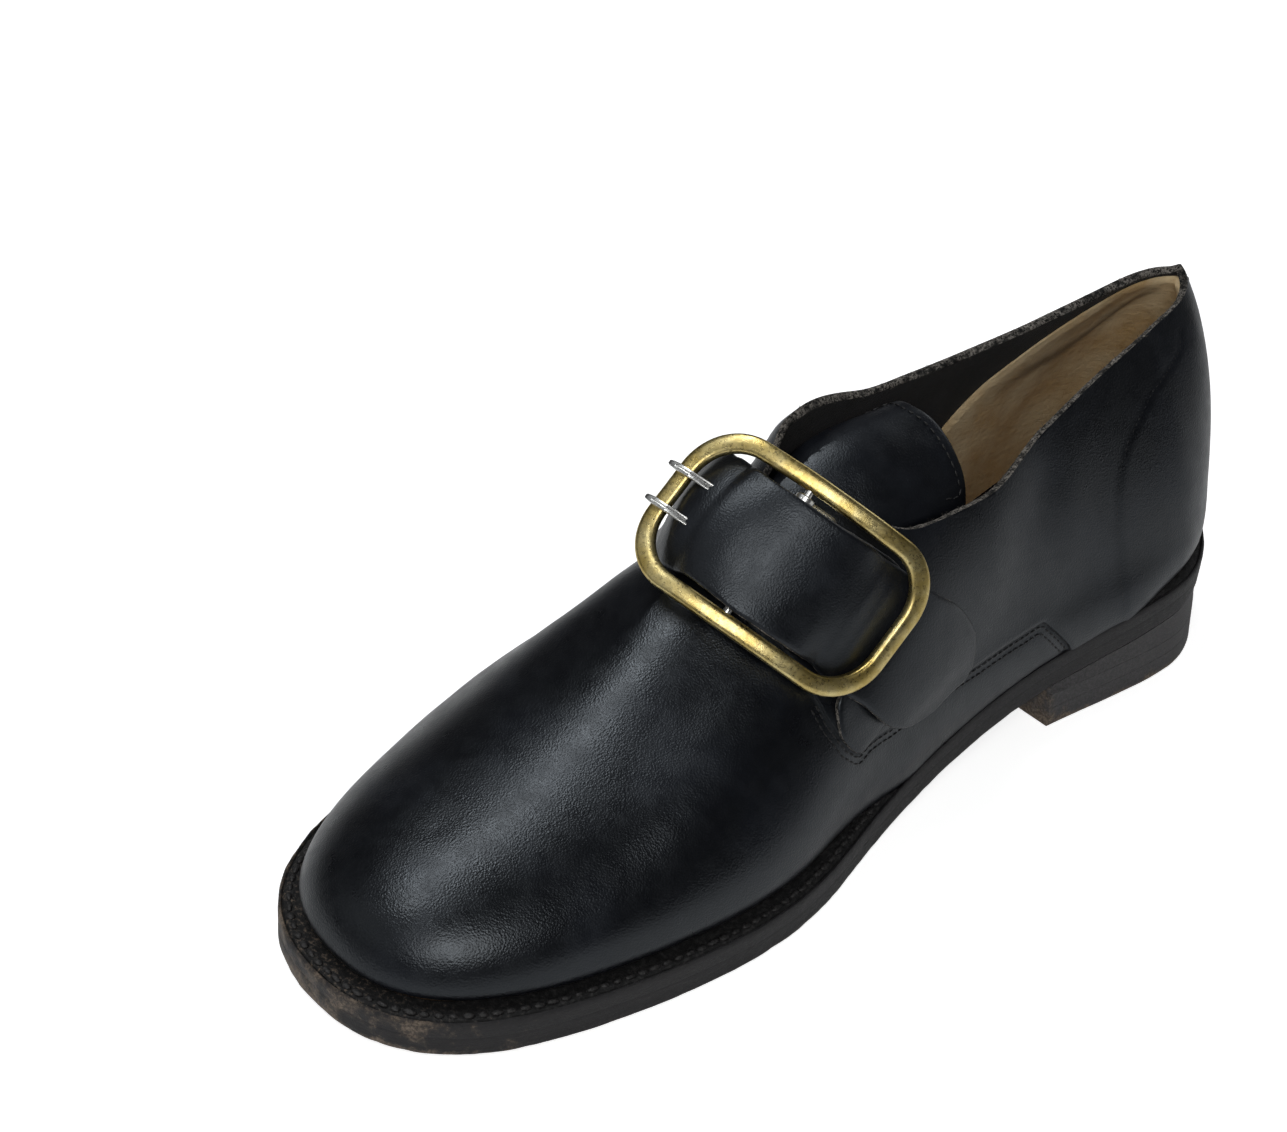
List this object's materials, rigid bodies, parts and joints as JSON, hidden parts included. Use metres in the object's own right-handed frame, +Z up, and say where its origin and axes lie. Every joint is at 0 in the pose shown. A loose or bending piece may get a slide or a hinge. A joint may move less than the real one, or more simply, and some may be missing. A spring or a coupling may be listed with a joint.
{
  "type": "colonial buckle shoe",
  "caption": "Low black leather shoe with a rounded toe, welted sole and stacked heel, its latchets closed over the instep by a large arched brass frame buckle.",
  "frame": {"origin": "middle of the shoe's box, on the floor under the sole", "axes": "+Z up, -Y towards the toe, +X towards the outer side of the left foot"},
  "size_m": [0.1048, 0.3, 0.104],
  "materials": {
    "upper_leather": "smooth black waxed leather, satin",
    "sole_leather": "blackened sole leather, matt and scuffed",
    "insole_leather": "plain tan leather",
    "brass": "aged satin brass",
    "steel": "bright steel, lightly worn"
  },
  "bodies": {
    "root": {"outsole": "sole_leather", "welt": "sole_leather", "heel_top_piece": "sole_leather", "heel_lift": "sole_leather", "heel_wedge": "sole_leather", "insole": "insole_leather", "upper": "upper_leather", "tongue": "upper_leather", "latchet_under": "upper_leather", "latchet_over": "upper_leather", "buckle_frame": "brass", "buckle_bar": "steel", "buckle_fork": "steel", "buckle_chape": "steel"}
  },
  "joints": []
}
